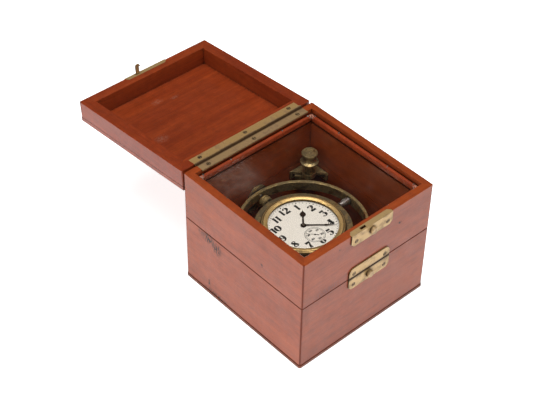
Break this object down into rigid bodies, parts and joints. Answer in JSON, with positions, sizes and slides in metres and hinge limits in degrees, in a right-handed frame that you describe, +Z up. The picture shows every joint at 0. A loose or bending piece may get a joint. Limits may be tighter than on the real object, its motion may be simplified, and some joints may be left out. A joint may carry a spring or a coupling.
{
  "type": "marine chronometer",
  "caption": "Wooden three-tier box with a glazed middle tier, a fold-back lid and push-button catches, holding a gimballed brass bowl with an eight-day watch movement.",
  "frame": {"origin": "centre of the box's underside, where it stands", "axes": "+Z up, -Y towards the front with the catches, +Y towards the hinges and the lid laid open, +X to the right seen from the front"},
  "size_m": [0.141, 0.2872, 0.1155],
  "materials": {
    "case_wood": "polished",
    "lid_wood": "polished",
    "base_wood": "satin",
    "bead_wood": "polished",
    "glass": "polished",
    "pin_metal": "satin",
    "hinge_brass": "aged",
    "screw_brass": "aged",
    "catch_brass": "polished",
    "spring_steel": "satin",
    "gimbal_brass": "aged",
    "pivot_steel": "satin",
    "bezel_gold": "polished",
    "dial_enamel": "satin",
    "blued_steel": "polished",
    "nickel_plate": "satin",
    "wheel_brass": "polished"
  },
  "bodies": {
    "case": {"base_panel": "base_wood", "bottom_front_board": "case_wood", "bottom_right_board": "case_wood", "bottom_back_board": "case_wood", "bottom_left_board": "case_wood", "tier_hinge_bottom_leaf": "hinge_brass", "tier_hinge_pin": "hinge_brass", "bottom_screws": "screw_brass", "tier_catch_plate": "catch_brass", "tier_catch_spring": "spring_steel", "gimbal_brackets": "gimbal_brass", "bracket_screws": "screw_brass", "ring_pivots": "pivot_steel", "lock_bracket": "gimbal_brass"},
    "tier_button": {"tier_catch_button": "catch_brass"},
    "middle_tier": {"middle_front_board": "case_wood", "middle_right_board": "case_wood", "middle_back_board": "case_wood", "middle_left_board": "case_wood", "glass_pane": "glass", "glass_beads": "bead_wood", "bead_pins": "pin_metal", "tier_hinge_middle_leaf": "hinge_brass", "lid_hinge_case_leaf": "hinge_brass", "lid_hinge_pin": "hinge_brass", "middle_screws": "screw_brass", "tier_hook_plate": "catch_brass", "lid_catch_plate": "catch_brass", "lid_catch_spring": "spring_steel"},
    "lid_button": {"lid_catch_button": "catch_brass"},
    "lid": {"lid_front_board": "lid_wood", "lid_right_board": "lid_wood", "lid_back_board": "lid_wood", "lid_left_board": "lid_wood", "lid_top_panel": "lid_wood", "lid_hinge_lid_leaf": "hinge_brass", "lid_screws": "screw_brass", "lid_hook_plate": "catch_brass"},
    "gimbal_ring": {"gimbal_ring": "gimbal_brass"},
    "gimbal_lock": {"gimbal_lock": "gimbal_brass"},
    "bowl": {"bowl": "gimbal_brass", "bezel": "bezel_gold", "crystal": "glass", "dial": "dial_enamel", "main_plate": "nickel_plate", "train_plate": "nickel_plate", "bowl_trunnions": "pivot_steel"},
    "hour_hand": {"hour_hand": "blued_steel"},
    "minute_train": {"minute_hand": "blued_steel", "centre_wheel": "wheel_brass"},
    "third_wheel": {"third_wheel": "wheel_brass"},
    "seconds_train": {"seconds_hand": "blued_steel", "fourth_wheel": "wheel_brass"},
    "escape_wheel": {"escape_wheel": "wheel_brass"},
    "barrel": {"barrel": "wheel_brass", "mainspring": "spring_steel"},
    "pallet_fork": {"pallet_fork": "pivot_steel"},
    "balance": {"balance_wheel": "wheel_brass", "hairspring": "spring_steel"},
    "winding_crown": {"winding_crown": "gimbal_brass"}
  },
  "joints": [
    {"name": "tier_hinge", "type": "hinge", "parent": "case", "child": "middle_tier", "pos_m": [0.0008, 0.0714, 0.0674], "axis": [-1, 0, 0], "range_deg": [0, 100]},
    {"name": "lid_hinge", "type": "hinge", "parent": "middle_tier", "child": "lid", "pos_m": [0.0008, 0.0714, 0.1142], "axis": [1, 0, 0], "range_deg": [0, 184.8]},
    {"name": "tier_catch_press", "type": "slide", "parent": "case", "child": "tier_button", "axis": [0, 1, 0], "range_m": [0, 0.0016], "stiffness_N_per_m": 250, "deforming": ["tier_catch_spring"]},
    {"name": "lid_catch_press", "type": "slide", "parent": "middle_tier", "child": "lid_button", "axis": [0, 1, 0], "range_m": [0, 0.0016], "stiffness_N_per_m": 250, "deforming": ["lid_catch_spring"]},
    {"name": "ring_swing", "type": "hinge", "parent": "case", "child": "gimbal_ring", "pos_m": [-0.0012, 0.0022, 0.0595], "axis": [0, 1, 0], "range_deg": [-30, 30]},
    {"name": "bowl_swing", "type": "hinge", "parent": "gimbal_ring", "child": "bowl", "pos_m": [-0.0012, 0.0022, 0.0595], "axis": [1, 0, 0], "range_deg": [-30, 30]},
    {"name": "gimbal_lock_turn", "type": "hinge", "parent": "case", "child": "gimbal_lock", "pos_m": [0.047, 0.047, 0.064], "axis": [0, 0, 1], "range_deg": [0, 90]},
    {"name": "seconds_turn", "type": "hinge", "parent": "bowl", "child": "seconds_train", "pos_m": [-0.0012, -0.0118, 0.062], "axis": [0, 0, -1], "continuous": true},
    {"name": "minute_turn", "type": "hinge", "parent": "bowl", "child": "minute_train", "pos_m": [-0.0012, 0.0022, 0.062], "axis": [0, 0, -1], "continuous": true},
    {"name": "hour_turn", "type": "hinge", "parent": "bowl", "child": "hour_hand", "pos_m": [-0.0012, 0.0022, 0.062], "axis": [0, 0, -1], "continuous": true},
    {"name": "third_wheel_turn", "type": "hinge", "parent": "bowl", "child": "third_wheel", "pos_m": [-0.00645, -0.00511, 0.052], "axis": [0, 0, -1], "continuous": true},
    {"name": "escape_wheel_turn", "type": "hinge", "parent": "bowl", "child": "escape_wheel", "pos_m": [0.00655, -0.01462, 0.047], "axis": [0, 0, -1], "continuous": true},
    {"name": "barrel_turn", "type": "hinge", "parent": "bowl", "child": "barrel", "pos_m": [0.00806, 0.01323, 0.05], "axis": [0, 0, -1], "continuous": true},
    {"name": "pallet_fork_rock", "type": "hinge", "parent": "bowl", "child": "pallet_fork", "pos_m": [0.01065, -0.01175, 0.047], "axis": [0, 0, -1], "range_deg": [-4, 4]},
    {"name": "balance_swing", "type": "hinge", "parent": "bowl", "child": "balance", "pos_m": [0.01491, -0.00877, 0.051], "axis": [0, 0, -1], "range_deg": [-160, 160], "stiffness_Nm_per_rad": 0.000012},
    {"name": "crown_turn", "type": "hinge", "parent": "bowl", "child": "winding_crown", "pos_m": [-0.0012, 0.0482, 0.0575], "axis": [0, 1, 0], "continuous": true}
  ],
  "couplings": [
    {"joint": "minute_turn", "follows": "seconds_turn", "ratio": 0.016667},
    {"joint": "hour_turn", "follows": "seconds_turn", "ratio": 0.0013889},
    {"joint": "third_wheel_turn", "follows": "seconds_turn", "ratio": -0.13333},
    {"joint": "escape_wheel_turn", "follows": "seconds_turn", "ratio": -10},
    {"joint": "barrel_turn", "follows": "seconds_turn", "ratio": -0.0020833}
  ]
}
